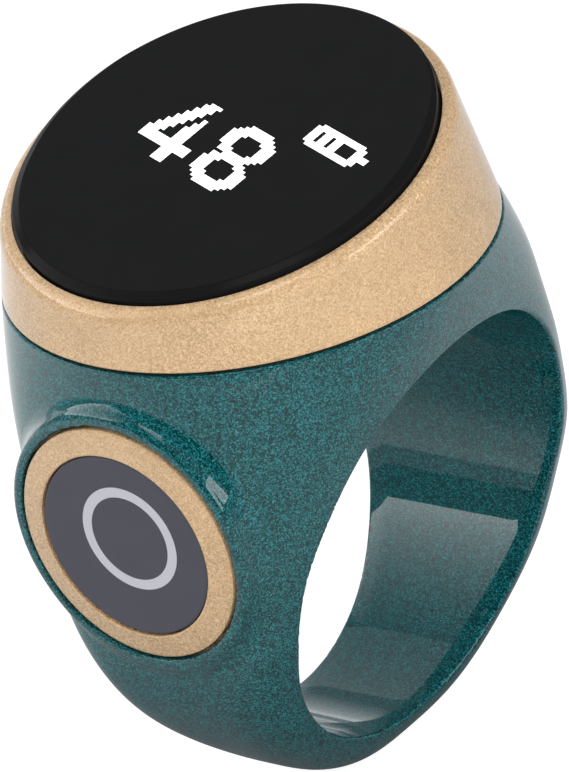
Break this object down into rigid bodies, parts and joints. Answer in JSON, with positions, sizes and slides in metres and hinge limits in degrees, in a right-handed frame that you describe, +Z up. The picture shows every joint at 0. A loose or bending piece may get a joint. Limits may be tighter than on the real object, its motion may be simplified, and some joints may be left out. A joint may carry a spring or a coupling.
{
  "type": "digital tasbih counter ring",
  "caption": "Finger ring with a round display under dark glass in a gold bezel and a push button on its side that counts prayers.",
  "frame": {"origin": "centre of the finger bore, on its axis", "axes": "+X along the finger, -Y towards the push button, +Z up towards the display"},
  "size_m": [0.0226, 0.0253, 0.0329],
  "materials": {
    "body_paint": "metallic flake lacquer",
    "gold_satin": "satin",
    "window_glass": "polished, dark",
    "black_gloss": "gloss",
    "black_rubber": "matte",
    "clear_adhesive": "clear",
    "panel_glass": "polished",
    "black_plastic": "matte",
    "flex_amber": "gloss",
    "ivory_plastic": "matte",
    "board_green": "solder mask",
    "chip_black": "matte",
    "ceramic_tan": "matte",
    "steel": "brushed",
    "cell_foil": "foil",
    "grey_foam": "foam",
    "contact_gold": "polished",
    "weight_metal": "sintered"
  },
  "bodies": {
    "ring": {"ring_body": "body_paint", "bezel": "gold_satin", "case_gasket": "black_rubber", "display_window": "window_glass", "window_gasket": "black_rubber", "oled_adhesive": "clear_adhesive", "oled_panel": "panel_glass", "display_frame": "black_plastic", "display_flex": "flex_amber", "flex_connector": "ivory_plastic", "main_board": "board_green", "controller_chip": "chip_black", "charger_chip": "chip_black", "clock_crystal": "steel", "radio_antenna": "ivory_plastic", "board_passives": "ceramic_tan", "battery_cell": "cell_foil", "battery_pad": "grey_foam", "battery_tabs": "steel", "charging_contacts": "contact_gold", "motor_pad": "grey_foam", "motor_base": "steel", "motor_can": "steel", "motor_shaft": "steel", "switch_flex": "flex_amber", "switch_body": "chip_black", "button_seal": "black_rubber"},
    "button": {"button_cap": "gold_satin", "button_inlay": "black_gloss"},
    "plunger": {"switch_plunger": "ivory_plastic"},
    "rotor": {"motor_weight": "weight_metal"}
  },
  "joints": [
    {"name": "button_press", "type": "slide", "parent": "ring", "child": "button", "axis": [0, 1, 0], "range_m": [0, 0.00025], "stiffness_N_per_m": 6000},
    {"name": "plunger_press", "type": "slide", "parent": "ring", "child": "plunger", "axis": [0, 1, 0], "range_m": [0, 0.00025]},
    {"name": "motor_spin", "type": "hinge", "parent": "ring", "child": "rotor", "pos_m": [0, 0.005, 0.01512], "axis": [0, 0, 1], "continuous": true}
  ],
  "couplings": [
    {"joint": "plunger_press", "follows": "button_press", "ratio": 1}
  ]
}
